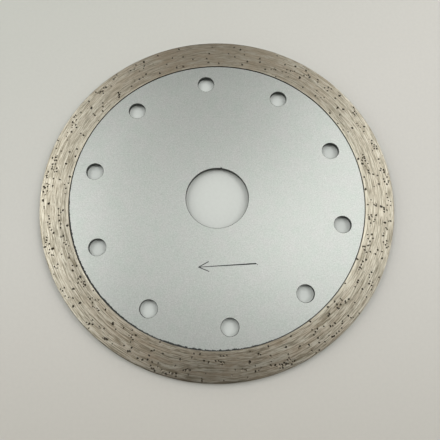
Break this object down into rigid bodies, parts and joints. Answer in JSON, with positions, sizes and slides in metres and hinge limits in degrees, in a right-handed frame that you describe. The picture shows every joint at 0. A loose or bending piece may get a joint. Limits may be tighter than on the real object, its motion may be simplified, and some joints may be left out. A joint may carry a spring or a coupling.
{
  "type": "diamond blade",
  "caption": "Flat steel disc with a continuous sintered diamond rim, a round arbor bore and a ring of cooling holes; cuts tile, stone and concrete on an angle grinder.",
  "frame": {"origin": "centre of the arbor bore, halfway through the steel core's thickness", "axes": "+Z along the spin axis, out of the marked face; +X and +Y lie in the blade's plane, with the engraved arrow on the -Y side of the bore, pointing along -X"},
  "size_m": [0.125, 0.125, 0.0022],
  "materials": {
    "core_lacquer": "satin",
    "sintered_bond": "satin",
    "diamond_grit": "gloss"
  },
  "bodies": {
    "root": {"steel_core": "core_lacquer", "diamond_rim": "sintered_bond", "grit_front": "diamond_grit", "grit_back": "diamond_grit", "grit_edge": "diamond_grit"}
  },
  "joints": []
}
